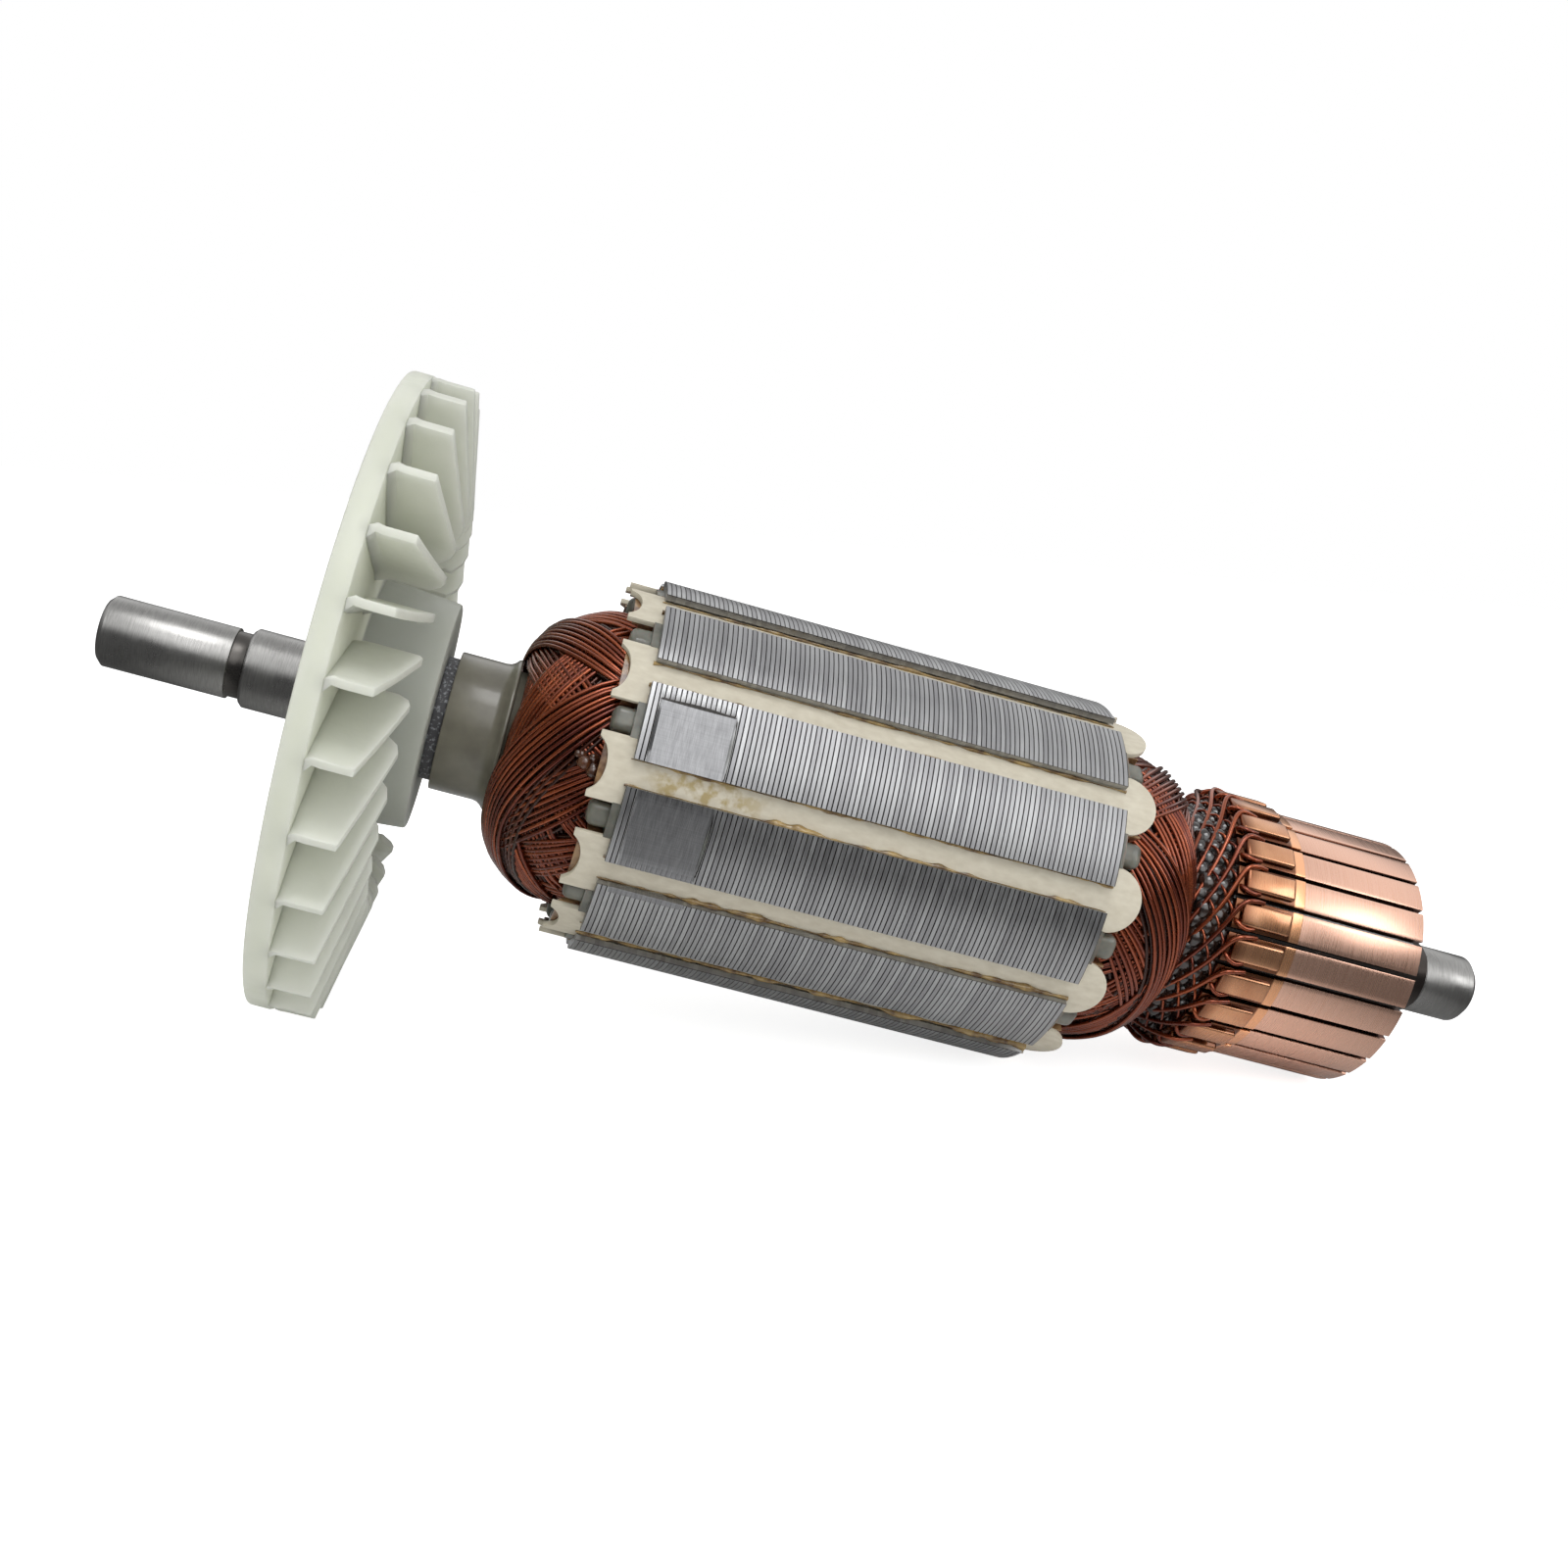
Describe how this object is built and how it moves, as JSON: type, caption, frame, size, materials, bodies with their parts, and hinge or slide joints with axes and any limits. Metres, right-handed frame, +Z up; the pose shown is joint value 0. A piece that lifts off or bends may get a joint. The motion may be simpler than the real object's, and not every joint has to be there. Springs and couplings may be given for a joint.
{
  "type": "motor armature",
  "caption": "Wound armature of a universal motor: ground shaft with a radial cooling fan, slotted laminated core with lap windings and a hooked copper commutator.",
  "frame": {"origin": "middle of the underside of the whole part's box, on the bench it lies on", "axes": "+X along the part, from the drive end towards the commutator end; +Z up. The shaft lies in the XZ plane and dips 10.33 degrees towards +X, because the armature rests on its fan and its commutator"},
  "size_m": [0.1616, 0.0714, 0.0713],
  "materials": {
    "ground_steel": "ground, fine turning marks",
    "fan_nylon": "milky, slightly translucent",
    "ring_resin": "dark grey, speckled",
    "sleeve_plastic": "warm grey, satin",
    "core_steel": "stacked sheets, turned, thin varnish",
    "insulator_plastic": "grey-white, varnished",
    "slot_paper": "varnish-soaked at its edges",
    "wedge_board": "pale board",
    "enamelled_copper": "glossy red-brown enamel and varnish",
    "bar_copper": "turned copper, fine rings",
    "moulded_resin": "dark moulded resin"
  },
  "bodies": {
    "root": {"shaft": "ground_steel", "cooling_fan": "fan_nylon", "fan_spacer_ring": "ring_resin", "insulating_sleeve": "sleeve_plastic", "laminated_core": "core_steel", "end_insulator_drive_side": "insulator_plastic", "end_insulator_commutator_side": "insulator_plastic", "slot_liners": "slot_paper", "slot_wedge_01": "wedge_board", "slot_wedge_02": "wedge_board", "slot_wedge_03": "wedge_board", "slot_wedge_04": "wedge_board", "slot_wedge_05": "wedge_board", "slot_wedge_06": "wedge_board", "slot_wedge_07": "wedge_board", "slot_wedge_08": "wedge_board", "slot_wedge_09": "wedge_board", "slot_wedge_10": "wedge_board", "slot_wedge_11": "wedge_board", "slot_wedge_12": "wedge_board", "coil_01": "enamelled_copper", "coil_02": "enamelled_copper", "coil_03": "enamelled_copper", "coil_04": "enamelled_copper", "coil_05": "enamelled_copper", "coil_06": "enamelled_copper", "coil_07": "enamelled_copper", "coil_08": "enamelled_copper", "coil_09": "enamelled_copper", "coil_10": "enamelled_copper", "coil_11": "enamelled_copper", "coil_12": "enamelled_copper", "commutator_bar_01": "bar_copper", "commutator_bar_02": "bar_copper", "commutator_bar_03": "bar_copper", "commutator_bar_04": "bar_copper", "commutator_bar_05": "bar_copper", "commutator_bar_06": "bar_copper", "commutator_bar_07": "bar_copper", "commutator_bar_08": "bar_copper", "commutator_bar_09": "bar_copper", "commutator_bar_10": "bar_copper", "commutator_bar_11": "bar_copper", "commutator_bar_12": "bar_copper", "commutator_bar_13": "bar_copper", "commutator_bar_14": "bar_copper", "commutator_bar_15": "bar_copper", "commutator_bar_16": "bar_copper", "commutator_bar_17": "bar_copper", "commutator_bar_18": "bar_copper", "commutator_bar_19": "bar_copper", "commutator_bar_20": "bar_copper", "commutator_bar_21": "bar_copper", "commutator_bar_22": "bar_copper", "commutator_bar_23": "bar_copper", "commutator_bar_24": "bar_copper", "commutator_body": "moulded_resin", "coil_leads": "enamelled_copper"}
  },
  "joints": []
}
